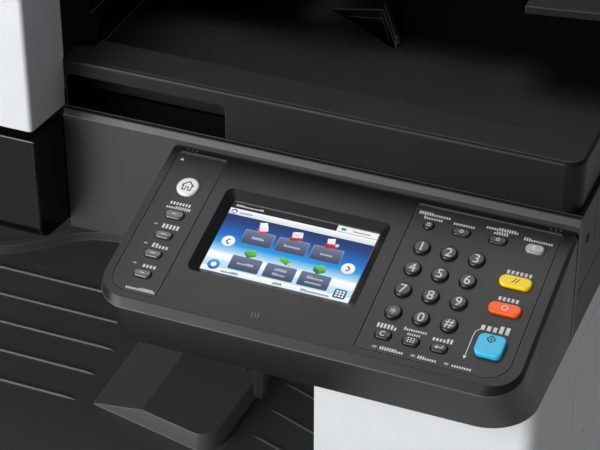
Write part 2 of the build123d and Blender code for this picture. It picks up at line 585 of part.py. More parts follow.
with BuildPart() as adf_housing:
    feeder_end(CAP_BACK + JOINT_GAP, BLOCK_FRONT_END)
    feeder_end(BLOCK_BACK_START, FEEDER_BACK)
    block((-SIDE, BLOCK_FRONT_END, FEEDER_SEAT), (FEEDER_RIGHT, BLOCK_BACK_START, FEED_LEVEL))
    block((-SIDE, BLOCK_FRONT_END, FEED_LEVEL), (FEEDER_RIGHT - 72, BLOCK_BACK_START,
                                                TOP_COVER_BOTTOM - JOINT_GAP))
    # exit throat over the lid's tray
    block((FEEDER_RIGHT - THROAT_DEPTH, BLOCK_FRONT_END + 8, EXIT_BOTTOM),
          (FEEDER_RIGHT, BLOCK_BACK_START - 8, EXIT_TOP), Mode.SUBTRACT)
save(adf_housing, "adf_housing")

COVER_WALL = 4.0


def cover_outline(inset):
    """Closed outline of the feeder's top cover, pulled in by inset, as one polyline."""
    return ((-SIDE + inset, TOP_COVER_BOTTOM), (-SIDE + inset, FEEDER_TOP - inset),
            (FEEDER_RIGHT - 10 - inset, FEEDER_TOP - inset), (FEEDER_RIGHT - inset, 734),
            (FEEDER_RIGHT - inset, THROAT_TOP + 4), (FEEDER_RIGHT - 12, THROAT_TOP))


with BuildPart() as adf_top_cover:
    for inset, mode in ((0.0, Mode.ADD), (COVER_WALL, Mode.SUBTRACT)):
        corners = cover_outline(inset)
        ends = COVER_WALL if inset else 0.0
        with BuildSketch(Plane.XZ.offset(-(BLOCK_FRONT_END + JOINT_GAP + ends))):
            with BuildLine():
                FilletPolyline(*corners, radius=(CORNER_LEFT - inset, 8, 8, 3))
                Line(corners[-1], corners[0])
            make_face()
        extrude(amount=-(BLOCK_BACK_START - BLOCK_FRONT_END - 2 * JOINT_GAP - 2 * ends), mode=mode)
    # grip of the cover's catch
    block((FEEDER_RIGHT - 26, 20, FEEDER_TOP - 5), (FEEDER_RIGHT - 12, 80, FEEDER_TOP),
          Mode.SUBTRACT)
save(adf_top_cover, "adf_top_cover")

# ---------------------------------------------------------------- input tray and guides
# Rises to the right by INPUT_SLOPE. Its end is wider than the rest, past a narrow slot.
INPUT_SLOPE = 0.0927
INPUT_THICKNESS = 5.0
INPUT_FRONT, INPUT_BACK = -43.0, 206.0
INPUT_END_FRONT, INPUT_END_BACK = -68.0, 231.0
INPUT_LEFT, INPUT_RIGHT, INPUT_STEP = FEEDER_RIGHT + 0.3, 286.0, 224.0
INPUT_LEVEL = 672.2
GUIDE_X = (60.0, 72.0)
GUIDE_HEIGHT = 20.0
GUIDE_SLOTS = ((-36.0, 62.0), (101.0, 199.0))


def input_height(x):
    """Height of the input tray's sheet surface at x."""
    return INPUT_LEVEL + INPUT_SLOPE * (x - INPUT_LEFT)


def input_plate(x_low, x_high, y_low, y_high, top=0.0, bottom=-INPUT_THICKNESS, mode=Mode.ADD):
    """A plate that follows the input tray's slope, between two offsets from its surface."""
    prism_y([(x_low, input_height(x_low) + bottom), (x_low, input_height(x_low) + top),
             (x_high, input_height(x_high) + top), (x_high, input_height(x_high) + bottom)],
            y_low, y_high, mode)


with BuildPart() as input_tray:
    input_plate(INPUT_LEFT, INPUT_STEP, INPUT_FRONT, INPUT_BACK)
    input_plate(INPUT_STEP, INPUT_RIGHT, INPUT_END_FRONT, INPUT_END_BACK)
    fillet(input_tray.edges().filter_by(Axis.Z).group_by(Axis.X)[-1], radius=14)
    for slot_front, slot_back in GUIDE_SLOTS:
        input_plate(GUIDE_X[0], GUIDE_X[1], slot_front, slot_back, 1, -INPUT_THICKNESS - 1,
                    Mode.SUBTRACT)
    # sheet ribs
    for rib in range(6):
        y = INPUT_FRONT + 32 + 37 * rib
        input_plate(96, 214, y, y + 2, 1.0, -0.5)
    # leg down to the lid, behind the sheets' path
    block((-20, 212, tray_height(40) + 0.6), (40, 226, 670))
    input_plate(-20, 40, 203, 226, -0.5)
save(input_tray, "input_tray")


def width_guide(slot, side):
    """A sheet guide in one slot: upright wall, sole, stem and foot. side is -1 front, 1 back."""
    outer = slot[0] + 2 if side < 0 else slot[1] - 2
    inner = outer - side * 10
    low, high = min(outer, inner), max(outer, inner)
    wall = (low, low + 2.5) if side < 0 else (high - 2.5, high)
    input_plate(GUIDE_X[0] - 34, GUIDE_X[1] + 34, low, high, 1.8 + 1.2, 1.4)
    input_plate(GUIDE_X[0] - 34, GUIDE_X[1] + 34, wall[0], wall[1], GUIDE_HEIGHT, 1.4)
    input_plate(GUIDE_X[0] + 0.5, GUIDE_X[1] - 0.5, low, high, 2, -INPUT_THICKNESS - 2.4)
    input_plate(GUIDE_X[0] - 3, GUIDE_X[1] + 3, low, high, -INPUT_THICKNESS - 0.6,
                -INPUT_THICKNESS - 2.4)


with BuildPart() as front_width_guide:
    width_guide(GUIDE_SLOTS[0], -1)
save(front_width_guide, "front_width_guide")

with BuildPart() as rear_width_guide:
    width_guide(GUIDE_SLOTS[1], 1)
save(rear_width_guide, "rear_width_guide")

# ---------------------------------------------------------------- operation panel
# The outline of the seam between bezel and housing, and of the bezel's top face.
SEAM_LEFT, SEAM_RIGHT, SEAM_FRONT, SEAM_BACK = -102.6, 159.6, -65.5, 60.5
TOP_LEFT, TOP_RIGHT, TOP_FRONT = -101.4, 157.8, -59.9
FOOT_LEFT, FOOT_RIGHT, FOOT_FRONT, FOOT_BACK = 33.5, 295.0, -270.5, -173.7
WINDOW_CENTRE = (-1.6, 3.25)
WINDOW_SIZE, WINDOW_MOUTH = (94.8, 55.0), (107.0, 67.0)
MOUTH_CENTRE = (-1.9, 4.0)
LEFT_MASK = (-96.0, -64.2, -54.9, 55.6)
RIGHT_MASK = (61.4, 150.8, -54.7, 56.0)
MASK_CORNER, MASK_SMALL_CORNER = 13.5, 1.5
MASK_LEDGE = 1.6
STRIP_SPANS, STRIP_LEVEL, STRIP_STEP = ((-95.0, -64.5), (61.5, 150.0)), 56.9, 0.5
GRIP_CENTRES, GRIP_PITCH = (-89.0, 145.5), 2.9


def cornered_rectangle(left, right, front, back, radii):
    """A rectangle with its own radius at front left, front right, back right and back left."""
    with BuildSketch(Plane.XY, mode=Mode.PRIVATE) as outline:
        with Locations(((left + right) / 2, (front + back) / 2)):
            Rectangle(right - left, back - front)
        corners = ((left, front), (right, front), (right, back), (left, back))
        for corner, radius in zip(corners, radii):
            nearest = outline.vertices().sort_by_distance((*corner, 0))[0]
            fillet(nearest, radius=radius)
    return outline.sketch


def mask_outline(is_left, inset=0.0):
    """Outline of a key mask, with the large corner at the panel's own corner."""
    left, right, front, back = LEFT_MASK if is_left else RIGHT_MASK
    large, small = MASK_CORNER - inset, max(MASK_SMALL_CORNER - inset, 0.3)
    radii = (large, small, small, small) if is_left else (small, large, small, small)
    return cornered_rectangle(left + inset, right - inset, front + inset, back - inset, radii)


seam_outline = cornered_rectangle(SEAM_LEFT, SEAM_RIGHT, SEAM_FRONT, SEAM_BACK, (21, 21, 1.5, 1.5))
top_outline = cornered_rectangle(TOP_LEFT, TOP_RIGHT, TOP_FRONT, SEAM_BACK, (17, 17, 1.5, 1.5))
foot_outline = cornered_rectangle(FOOT_LEFT, FOOT_RIGHT, FOOT_FRONT, FOOT_BACK, (14, 30, 1.5, 1.5))

with BuildPart() as panel_housing:
    with BuildSketch(Plane.XY.offset(SCANNER_BOTTOM)):
        add(foot_outline)
    with BuildSketch(panel_plane.offset(-BEZEL_THICKNESS)):
        add(seam_outline)
    loft(ruled=True)
    # hollow for keys, display and their boards
    with BuildSketch(panel_plane.offset(-BEZEL_THICKNESS)):
        add(cornered_rectangle(-97, 153, -56.5, 57, (12, 12, 3, 3)))
    extrude(amount=-13, mode=Mode.SUBTRACT)
save(panel_housing, "panel_housing")

with BuildPart() as panel_bezel:
    with BuildSketch(panel_plane.offset(-BEZEL_THICKNESS)):
        add(seam_outline)
    with BuildSketch(panel_plane):
        add(top_outline)
    loft(ruled=True)
    # bevelled display window
    with BuildSketch(panel_plane.offset(-BEZEL_THICKNESS)):
        with Locations(WINDOW_CENTRE):
            RectangleRounded(*WINDOW_SIZE, 1.2)
    with BuildSketch(panel_plane):
        with Locations(MOUTH_CENTRE):
            RectangleRounded(*WINDOW_MOUTH, 4.5)
    loft(ruled=True, mode=Mode.SUBTRACT)
    for is_left in (True, False):
        with BuildSketch(panel_plane):
            add(mask_outline(is_left))
            offset(amount=MASK_GAP)
        extrude(amount=-MASK_THICKNESS, mode=Mode.SUBTRACT)
        with BuildSketch(panel_plane):
            add(mask_outline(is_left, MASK_LEDGE))
        extrude(amount=-BEZEL_THICKNESS, mode=Mode.SUBTRACT)
    # thin step over each mask, with its wavy grip lines
    for left, right in STRIP_SPANS:
        with BuildSketch(panel_plane):
            with Locations(((left + right) / 2, STRIP_LEVEL + STRIP_STEP / 2)):
                Rectangle(right - left, STRIP_STEP)
        extrude(amount=-0.5, mode=Mode.SUBTRACT)
    for grip_x in GRIP_CENTRES:
        for line in (-1, 0, 1):
            with BuildSketch(panel_plane):
                with Locations((grip_x + GRIP_PITCH * line, 58.9)):
                    Rectangle(0.9, 2.6, rotation=-12)
            extrude(amount=-0.5, mode=Mode.SUBTRACT)
save(panel_bezel, "panel_bezel")

with BuildPart() as touch_display:
    with BuildSketch(panel_plane.offset(-BEZEL_THICKNESS)):
        with Locations(WINDOW_CENTRE):
            RectangleRounded(105.5, 66, 1)
    extrude(amount=-3)
save(touch_display, "touch_display")

# ---------------------------------------------------------------- keys
# name: centre x, centre s on the panel, width, length up the panel, corner radius, height
ROUND, SMALL_ROUND = 10.2, 6.4
KEYS = {"system_menu_key": (72.9, 42.1, SMALL_ROUND, SMALL_ROUND, 3.1, 1.4),
        "interrupt_key": (93.3, 42.4, 11.2, 5.8, 2.8, 1.4),
        "logout_key": (115.8, 42.4, 11.2, 5.8, 2.8, 1.4),
        "energy_saver_key": (138.7, 42.0, 12.0, 7.0, 3.4, 1.6),
        "reset_key": (135.6, 14.7, 19.8, 8.4, 4.1, 2.2),
        "stop_key": (135.6, -5.9, 19.8, 8.2, 4.0, 2.2),
        "start_key": (136.0, -33.9, 16.8, 15.4, 4.0, 3.2),
        "clear_key": (74.5, -42.9, 10.2, 6.2, 2.8, 1.6),
        "quick_number_key": (91.3, -42.9, 10.2, 6.2, 2.8, 1.6),
        "enter_key": (108.2, -42.9, 10.2, 6.2, 2.8, 1.6),
        "home_key": (-79.0, 30.3, 14.2, 14.2, 7.0, 1.8),
        "status_key": (-78.3, 7.2, 12.6, 6.4, 3.1, 1.5),
        "copy_key": (-78.3, -9.4, 11.4, 5.6, 2.7, 1.5),
        "send_key": (-78.5, -24.8, 11.4, 5.6, 2.7, 1.5),
        "fax_key": (-78.5, -40.7, 11.4, 5.6, 2.7, 1.5)}
KEY_COLUMNS, KEY_ROWS = (74.6, 91.5, 108.5), (24.6, 7.9, -8.8, -25.7)
PAD_NAMES = (("key_1", "key_2", "key_3"), ("key_4", "key_5", "key_6"),
             ("key_7", "key_8", "key_9"), ("key_star", "key_0", "key_hash"))
for names, key_s in zip(PAD_NAMES, KEY_ROWS):
    for name, key_x in zip(names, KEY_COLUMNS):
        KEYS[name] = (key_x, key_s, ROUND, ROUND, 5.0, 2.0)


def key_mask(is_left):
    """A thin plate with a hole for each key that stands in it."""
    with BuildPart() as mask:
        with BuildSketch(panel_plane):
            add(mask_outline(is_left))
        extrude(amount=-MASK_THICKNESS)
        with BuildSketch(panel_plane):
            for key_x, key_s, width, length, radius, _ in KEYS.values():
                if (key_x < 0) == is_left:
                    with Locations((key_x, key_s)):
                        RectangleRounded(width + 2 * KEY_GAP, length + 2 * KEY_GAP,
                                         radius + KEY_GAP)
        extrude(amount=-MASK_THICKNESS, mode=Mode.SUBTRACT)
    return mask


save_together((key_mask(True), key_mask(False)), "key_masks")


def key(key_x, key_s, width, length, radius, height):
    """A key cap with a rounded top edge and a retaining flange under the mask."""
    with BuildPart() as cap:
        with BuildSketch(panel_plane.offset(FLANGE_BOTTOM)):
            with Locations((key_x, key_s)):
                RectangleRounded(width, length, radius)
        extrude(amount=height - FLANGE_BOTTOM)
        top_edges = cap.faces().sort_by(panel_normal)[-1].edges()
        fillet(top_edges, radius=min(1.3, 0.8 * height))
        with BuildSketch(panel_plane.offset(FLANGE_BOTTOM)):
            with Locations((key_x, key_s)):
                RectangleRounded(width + 2 * KEY_FLANGE, length + 2 * KEY_FLANGE,
                                 radius + KEY_FLANGE)
        extrude(amount=FLANGE_TOP - FLANGE_BOTTOM)
    return cap


for name, sizes in KEYS.items():
    save(key(*sizes), name)
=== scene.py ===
"""Photocopier on a pale floor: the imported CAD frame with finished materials, a lit screen and
printed key marks. Metres, +X to the operator's right, +Y to the back, +Z up."""
import bpy
from math import cos, pi, radians, sin
import numpy as np
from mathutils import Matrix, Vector


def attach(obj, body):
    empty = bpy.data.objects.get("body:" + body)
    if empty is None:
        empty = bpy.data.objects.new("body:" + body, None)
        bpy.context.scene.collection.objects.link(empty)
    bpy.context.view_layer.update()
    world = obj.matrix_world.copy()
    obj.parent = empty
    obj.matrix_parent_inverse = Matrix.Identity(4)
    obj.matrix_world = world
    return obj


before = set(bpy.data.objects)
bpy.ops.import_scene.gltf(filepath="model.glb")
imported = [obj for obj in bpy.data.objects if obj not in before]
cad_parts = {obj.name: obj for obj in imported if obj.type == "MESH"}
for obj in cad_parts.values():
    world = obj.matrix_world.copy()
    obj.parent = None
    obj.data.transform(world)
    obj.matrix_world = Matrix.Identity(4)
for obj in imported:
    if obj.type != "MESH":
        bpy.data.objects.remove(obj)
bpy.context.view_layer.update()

MM = 0.001

# ------------------------------------------------------------------ camera
# A long lens from the front right and above, aimed at the operation panel. No depth of field.
camera_data = bpy.data.cameras.new("camera")
camera_data.lens = 130.8
camera_data.sensor_width = 36
camera_data.clip_end = 50
camera = bpy.data.objects.new("camera", camera_data)
camera.location = (0.5378, -1.2136, 1.3391)
camera.rotation_euler = (radians(90 - 34.29), 0, radians(22.0))
bpy.context.scene.collection.objects.link(camera)
bpy.context.scene.camera = camera

# ------------------------------------------------------------------ outer covers
# Front, side and column covers, cassette and the feeder's front cap: injection-moulded ABS with
# a fine spark-eroded grain, white in front and a little greyer on the side walls.


def node_group(name, inputs, outputs):
    """An empty shader group with float inputs (name, value) and outputs (name, socket type)."""
    group = bpy.data.node_groups.new(name, "ShaderNodeTree")
    for label, value in inputs:
        socket = group.interface.new_socket(label, in_out="INPUT", socket_type="NodeSocketFloat")
        socket.default_value = value
    for label, kind in outputs:
        group.interface.new_socket(label, in_out="OUTPUT", socket_type=kind)
    return group, group.nodes.new("NodeGroupInput"), group.nodes.new("NodeGroupOutput")


def math_node(tree, operation, first, second):
    """A Math node fed by sockets or plain numbers; gives its output socket."""
    node = tree.nodes.new("ShaderNodeMath")
    node.operation = operation
    for socket, value in zip(node.inputs, (first, second)):
        if isinstance(value, (int, float)):
            socket.default_value = value
        else:
            tree.links.new(value, socket)
    return node.outputs[0]


# Moulded grain: small even bumps, and a slow mottle of how evenly the mould filled.
grain, grain_in, grain_out = node_group(
    "moulded_grain", [("Grain size", 1.0)],
    [("Height", "NodeSocketFloat"), ("Mottle", "NodeSocketFloat")])
place = grain.nodes.new("ShaderNodeTexCoord")
bumps = grain.nodes.new("ShaderNodeTexVoronoi")
bumps.feature = "SMOOTH_F1"
grain.links.new(place.outputs["Object"], bumps.inputs["Vector"])
grain.links.new(math_node(grain, "DIVIDE", 1000.0, grain_in.outputs[0]), bumps.inputs["Scale"])
mottle = grain.nodes.new("ShaderNodeTexNoise")
mottle.inputs["Scale"].default_value = 14
mottle.inputs["Detail"].default_value = 6
mottle.inputs["Roughness"].default_value = 0.62
grain.links.new(place.outputs["Object"], mottle.inputs["Vector"])
grain.links.new(bumps.outputs["Distance"], grain_out.inputs["Height"])
grain.links.new(mottle.outputs["Fac"], grain_out.inputs["Mottle"])

# Soft edges: a small moulded radius on every sharp edge, and a mask of where it is, along which the
# finishes paint a highlight.
EDGE_GAIN = 4.0
softened, softened_in, softened_out = node_group(
    "moulded_edge", [("Radius", 0.0008)],
    [("Edge", "NodeSocketFloat"), ("Normal", "NodeSocketVector")])
rounding = softened.nodes.new("ShaderNodeBevel")
rounding.samples = 6
flat_face = softened.nodes.new("ShaderNodeNewGeometry")
turn = softened.nodes.new("ShaderNodeVectorMath")
turn.operation = "DOT_PRODUCT"
softened.links.new(softened_in.outputs[0], rounding.inputs["Radius"])
softened.links.new(rounding.outputs[0], turn.inputs[0])
softened.links.new(flat_face.outputs["Normal"], turn.inputs[1])
turned = math_node(softened, "SUBTRACT", 1.0, turn.outputs["Value"])
softened.links.new(math_node(softened, "MULTIPLY", turned, EDGE_GAIN),
                   softened_out.inputs["Edge"])
softened.links.new(rounding.outputs[0], softened_out.inputs["Normal"])


def linear(*rgb):
    """A colour from display values 0 to 255: each is divided by 255 and raised to the power 2.2."""
    return tuple(float(v) for v in (np.array(rgb) / 255) ** 2.2) + (1.0,)


def moulded(name, colour, roughness, grain_size=0.6, grain_depth=0.00003, edge_radius=0.0008,
            edge_highlight_colour=None, edge_highlight_amount=0.35, **shader):
    """A moulded finish: grained and mottled colour, softened edges with a painted highlight that
    mixes towards the paler edge colour.
    """
    material = bpy.data.materials.new(name)
    material.use_nodes = True
    tree = material.node_tree
    surface = tree.nodes["Principled BSDF"]
    grained = tree.nodes.new("ShaderNodeGroup")
    grained.node_tree = grain
    grained.inputs["Grain size"].default_value = grain_size
    edged = tree.nodes.new("ShaderNodeGroup")
    edged.node_tree = softened
    edged.inputs["Radius"].default_value = edge_radius
    # colour: the two ends of the mottle, then the painted highlight along the edges
    tones = tree.nodes.new("ShaderNodeValToRGB")
    tones.color_ramp.elements[0].position, tones.color_ramp.elements[1].position = 0.3, 0.7
    tones.color_ramp.elements[0].color = tuple(v * 0.94 for v in colour[:3]) + (1,)
    tones.color_ramp.elements[1].color = tuple(min(1, v * 1.05) for v in colour[:3]) + (1,)
    tree.links.new(grained.outputs["Mottle"], tones.inputs["Fac"])
    # painted highlight: the edge mask mixes the colour towards a paler edge colour, in place of
    # light caught on the edges
    highlight_mix = tree.nodes.new("ShaderNodeMix")
    highlight_mix.data_type = "RGBA"
    paler = tuple(min(1, v * 1.5) for v in colour[:3]) + (1,)
    highlight_mix.inputs["B"].default_value = edge_highlight_colour or paler
    edge_mask = math_node(tree, "MULTIPLY", edged.outputs["Edge"], edge_highlight_amount)
    edge_mask.node.use_clamp = True
    tree.links.new(edge_mask, highlight_mix.inputs["Factor"])
    tree.links.new(tones.outputs["Color"], highlight_mix.inputs["A"])
    tree.links.new(highlight_mix.outputs["Result"], surface.inputs["Base Color"])
    # roughness follows the mottle by a tenth either way
    spread = math_node(tree, "MULTIPLY", grained.outputs["Mottle"], 0.2)
    tree.links.new(math_node(tree, "ADD", spread, roughness - 0.1), surface.inputs["Roughness"])
    bump = tree.nodes.new("ShaderNodeBump")
    bump.inputs["Strength"].default_value = 0.6
    bump.inputs["Distance"].default_value = grain_depth
    tree.links.new(grained.outputs["Height"], bump.inputs["Height"])
    tree.links.new(edged.outputs["Normal"], bump.inputs["Normal"])
    tree.links.new(bump.outputs["Normal"], surface.inputs["Normal"])
    for socket, value in shader.items():
        surface.inputs[socket.replace("_", " ")].default_value = value
    return material


def dress(material, *nodes):
    """Give the material to these CAD nodes."""
    for node in nodes:
        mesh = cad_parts[node].data
        mesh.materials.clear()
        mesh.materials.append(material)


# the paler edge colour is a painted highlight along the covers' edges
white_plastic = moulded("white_plastic", linear(200, 203, 205), 0.46,
                        edge_highlight_colour=linear(222, 225, 227), edge_highlight_amount=0.5)
grey_plastic = moulded("grey_plastic", linear(196, 200, 202), 0.5, edge_radius=0.001)
dress(white_plastic, "front_cover", "paper_cassette", "column_cover", "feeder_front_cap")
dress(grey_plastic, "left_cover", "right_cover", "side_door", "bypass_tray")

# ------------------------------------------------------------------ chassis, feet and inlet
# Folded steel sheet under a pale powder coat with its slight orange peel, rubber feet, and the
# black nylon mains inlet and switch. Zinc-plated pan-head screws sit in the rear recesses.
painted_steel = moulded("painted_steel", linear(168, 171, 173), 0.42, grain_size=3.0,
                        grain_depth=0.00002, edge_radius=0.001)
rubber = moulded("foot_rubber", linear(30, 30, 30), 0.8, grain_size=0.9, grain_depth=0.00006)
nylon = moulded("inlet_nylon", linear(28, 28, 29), 0.4, grain_size=0.3)
plated_steel = moulded("plated_steel", (0.55, 0.56, 0.57, 1), 0.3, grain_size=0.4,
                       grain_depth=0.000003, edge_radius=0.0003, Metallic=1.0)
dress(painted_steel, "base_frame")
dress(plated_steel, "cover_hinges")
dress(rubber, "feet")
dress(nylon, "power_inlet", "power_switch")

BACK = 295.0
REAR_SCREWS = [(x, z) for z in (40, 372) for x in (-270, -90, 90, 270)]


def screw_head(place, radius=4.0, steps=24):
    """A pan head with a cross recess, pointing to the back: its height above the seat is 2 mm
    times one minus the fourth power of distance over radius, less a cross-shaped dip of 1 mm."""
    angles, rings = np.linspace(0, 2 * pi, steps, endpoint=False), np.linspace(0, 1, 9)
    u, v = (np.outer(rings, np.cos(angles)) * radius, np.outer(rings, np.sin(angles)) * radius)
    cross = np.exp(-(u / 0.5) ** 4) * (abs(v) < 2.2) + np.exp(-(v / 0.5) ** 4) * (abs(u) < 2.2)
    rise = 2.0 * (1 - rings[:, None] ** 4) - np.minimum(cross, 1.0)
    return np.stack([place[0] + u, BACK - 3.0 + rise, place[1] + v], axis=2).reshape(-1, 3) * MM


ring, step = np.meshgrid(np.arange(8), np.arange(24), indexing="ij")
corner = ring * 24 + step
beside = ring * 24 + (step + 1) % 24
head_faces = np.stack([corner, corner + 24, beside + 24, beside], axis=2).reshape(-1, 4)
screw_mesh = bpy.data.meshes.new("rear_screws")
screw_mesh.from_pydata(np.concatenate([screw_head(p) for p in REAR_SCREWS]).tolist(), [],
                       np.concatenate([head_faces + 216 * i
                                       for i in range(len(REAR_SCREWS))]).tolist())
screw_mesh.shade_smooth()
screw_mesh.materials.append(plated_steel)
rear_screws = bpy.data.objects.new("rear_screws", screw_mesh)
bpy.context.scene.collection.objects.link(rear_screws)
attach(rear_screws, "machine")

# ------------------------------------------------------------------ black covers and trays
# The scanner box, lid and trays: charcoal ABS with a satin grain. The block under the feeder is
# polished black, and the output tray has a coarser grain so that sheets slide.
# each of these finishes paints a pale highlight along its edges; the polished block's is the
# brightest
black_plastic = moulded("black_plastic", linear(17, 17, 17), 0.42, grain_size=0.5,
                        grain_depth=0.00002, edge_radius=0.0012, edge_highlight_colour=linear(105, 105, 105),
                        Specular_IOR_Level=0.26)
polished_black = moulded("polished_black", linear(10, 10, 11), 0.2, grain_size=0.3,
                         grain_depth=0.000002, edge_radius=0.0014,
                         edge_highlight_colour=linear(190, 190, 190), edge_highlight_amount=0.9,
                         Specular_IOR_Level=0.16, Coat_Weight=0.1, Coat_Roughness=0.08)
tray_plastic = moulded("tray_plastic", linear(70, 70, 71), 0.4, grain_size=0.8,
                       grain_depth=0.00004, edge_radius=0.0012, edge_highlight_colour=linear(120, 120, 120))
scanner_plastic = moulded("scanner_plastic", linear(46, 46, 46), 0.4, grain_size=0.5,
                          grain_depth=0.00002, edge_radius=0.0012,
                          edge_highlight_colour=linear(125, 125, 125))
dress(scanner_plastic, "scanner_front_cover")
dress(black_plastic, "scanner_housing", "platen_cover", "adf_housing", "adf_top_cover",
      "input_tray", "document_stopper", "front_width_guide", "rear_width_guide",
      "scan_carriage", "toner_container", "paper_full_lever")
dress(polished_black, "scanner_left_cover")
dress(tray_plastic, "output_tray")

# ------------------------------------------------------------------ glass and white pad
# Float glass over the scanner, slightly green at its edges, and the lid's foam pad behind a
# matt white sheet that shows faint streaks of handling.
glass = bpy.data.materials.new("platen_glass")
glass.use_nodes = True
glass_surface = glass.node_tree.nodes["Principled BSDF"]
glass_surface.inputs["Base Color"].default_value = (0.82, 0.95, 0.9, 1)
glass_surface.inputs["Transmission Weight"].default_value = 1.0
glass_surface.inputs["IOR"].default_value = 1.5
smears = glass.node_tree.nodes.new("ShaderNodeTexNoise")
smears.inputs["Scale"].default_value = 9
smears.inputs["Detail"].default_value = 8
glass_place = glass.node_tree.nodes.new("ShaderNodeTexCoord")
glass.node_tree.links.new(glass_place.outputs["Object"], smears.inputs["Vector"])
glass.node_tree.links.new(math_node(glass.node_tree, "MULTIPLY", smears.outputs["Fac"], 0.06),
                          glass_surface.inputs["Roughness"])
dress(glass, "platen_glass")
pad_sheet = moulded("pad_sheet", linear(236, 236, 232), 0.65, grain_size=1.4, edge_radius=0.0005)
dress(pad_sheet, "platen_pad")

# ------------------------------------------------------------------ operation panel housing
# Bezel and housing: warm black ABS with a fine satin grain and crisp bevels with a painted
# highlight along them; the two key masks are thin inserts in a slightly lighter grey, their edges
# also given a painted highlight.
TILT = radians(16.0)
PANEL_CENTRE = (135.0, -233.0, 597.0)
bezel_plastic = moulded("bezel_plastic", linear(27, 23, 22), 0.36, grain_size=0.35,
                        grain_depth=0.000012, edge_radius=0.0007, edge_highlight_colour=linear(130, 125, 120),
                        edge_highlight_amount=0.6, Specular_IOR_Level=0.36)
mask_plastic = moulded("mask_plastic", linear(42, 42, 41), 0.42, grain_size=0.35,
                       grain_depth=0.000012, edge_radius=0.0004,
                       edge_highlight_colour=linear(150, 148, 145), edge_highlight_amount=0.7, Specular_IOR_Level=0.4)
dress(bezel_plastic, "panel_bezel", "panel_housing")
dress(mask_plastic, "key_masks")


def on_panel(flat, height):
    """Points (x, s) in mm on the panel's face, raised by height mm: x runs to the right, s up the
    slope, and the tilt turns s and height into Y and Z."""
    flat = np.asarray(flat, float)
    height = np.broadcast_to(np.asarray(height, float), flat.shape[:1])
    return MM * np.stack([PANEL_CENTRE[0] + flat[:, 0],
                          PANEL_CENTRE[1] + flat[:, 1] * cos(TILT) - height * sin(TILT),
                          PANEL_CENTRE[2] + flat[:, 1] * sin(TILT) + height * cos(TILT)], axis=1)


# ------------------------------------------------------------------ keys
# Two-shot moulded keys: dark satin caps for the digits, grey metallic pills for the
# functions, a white home key, and the coloured reset, stop and start keys.
# the paler edge colours of the caps are painted highlights along their edges
dark_key = moulded("dark_key", linear(38, 37, 36), 0.3, grain_size=0.3, grain_depth=0.000006,
                   edge_radius=0.0003, edge_highlight_colour=linear(110, 108, 104))
silver_key = moulded("silver_key", linear(92, 90, 88), 0.32, grain_size=0.3,
                     grain_depth=0.000006, edge_radius=0.0003, Metallic=0.6)
white_key = moulded("white_key", linear(236, 234, 230), 0.3, grain_size=0.3,
                    grain_depth=0.000004, edge_radius=0.0003)
clear_key = moulded("clear_key", linear(150, 148, 144), 0.24, grain_size=0.3,
                    grain_depth=0.000004, edge_radius=0.0003, Coat_Weight=0.6)
yellow_key = moulded("yellow_key", linear(255, 214, 0), 0.36, grain_size=0.3, edge_highlight_amount=0.1,
                     grain_depth=0.000004, edge_radius=0.0003, edge_highlight_colour=linear(255, 236, 110))
orange_key = moulded("orange_key", linear(255, 92, 14), 0.36, grain_size=0.3, edge_highlight_amount=0.1,
                     grain_depth=0.000004, edge_radius=0.0003, edge_highlight_colour=linear(255, 160, 100))
cyan_key = moulded("cyan_key", linear(60, 190, 232), 0.36, grain_size=0.3, edge_highlight_amount=0.1,
                   grain_depth=0.000004, edge_radius=0.0003, edge_highlight_colour=linear(160, 225, 245))
DIGIT_KEYS = ("key_1", "key_2", "key_3", "key_4", "key_5", "key_6", "key_7", "key_8", "key_9",
              "key_star", "key_0", "key_hash")
dress(dark_key, *DIGIT_KEYS, "system_menu_key", "clear_key", "quick_number_key", "enter_key",
      "interrupt_key", "logout_key")
dress(silver_key, "status_key", "copy_key", "send_key", "fax_key")
dress(white_key, "home_key")
dress(clear_key, "energy_saver_key")
dress(yellow_key, "reset_key")
dress(orange_key, "stop_key")
dress(cyan_key, "start_key")

# ------------------------------------------------------------------ printed marks
# Pad-printed and laser-marked symbols: pale rows of small blocks stand where words are, with
# plain pictograms on the keys. Each is a thin flat layer of ink just proud of its surface.
INK_LIFT = 0.03


def rounded(centre, size, radius, steps=7, turn=0.0):
    """Outline of a rounded rectangle: four quarter circles of the radius, each about its corner
    centre, one after another anticlockwise; turned about the middle by an angle."""
    quarter = np.linspace(0, pi / 2, steps)
    angles = (quarter[None, :] + np.arange(4)[:, None] * pi / 2).ravel()
    signs = np.repeat(np.array([(1, 1), (-1, 1), (-1, -1), (1, -1)]), steps, axis=0)
    corner = signs * (np.array(size) / 2 - radius)
    flat = corner + radius * np.stack([np.cos(angles), np.sin(angles)], axis=1)
    spin = np.array([[cos(turn), sin(turn)], [-sin(turn), cos(turn)]])
    return flat @ spin + np.array(centre)


def on_circle(centre, radius, angles):
    """Points on a circle: the centre plus the radius times cosine and sine of each angle."""
    return np.array(centre) + radius * np.stack([np.cos(angles), np.sin(angles)], axis=1)


def disc(centre, radius, steps=28):
    """Outline of a disc: points on its circle at even angles."""
    return on_circle(centre, radius, np.arange(steps) * 2 * pi / steps)


def stroke(line, width):
    """A pen stroke: the line moved half a width to its left, then back along its right side."""
    line = np.asarray(line, float)
    along = np.gradient(line, axis=0)
    along /= np.linalg.norm(along, axis=1)[:, None]
    side = np.stack([-along[:, 1], along[:, 0]], axis=1) * width / 2
    return np.concatenate([line + side, (line - side)[::-1]])


def arc(centre, radius, start, end, width, steps=20):
    """A stroke along a circle from one angle to another, in degrees."""
    return stroke(on_circle(centre, radius, np.radians(np.linspace(start, end, steps))), width)


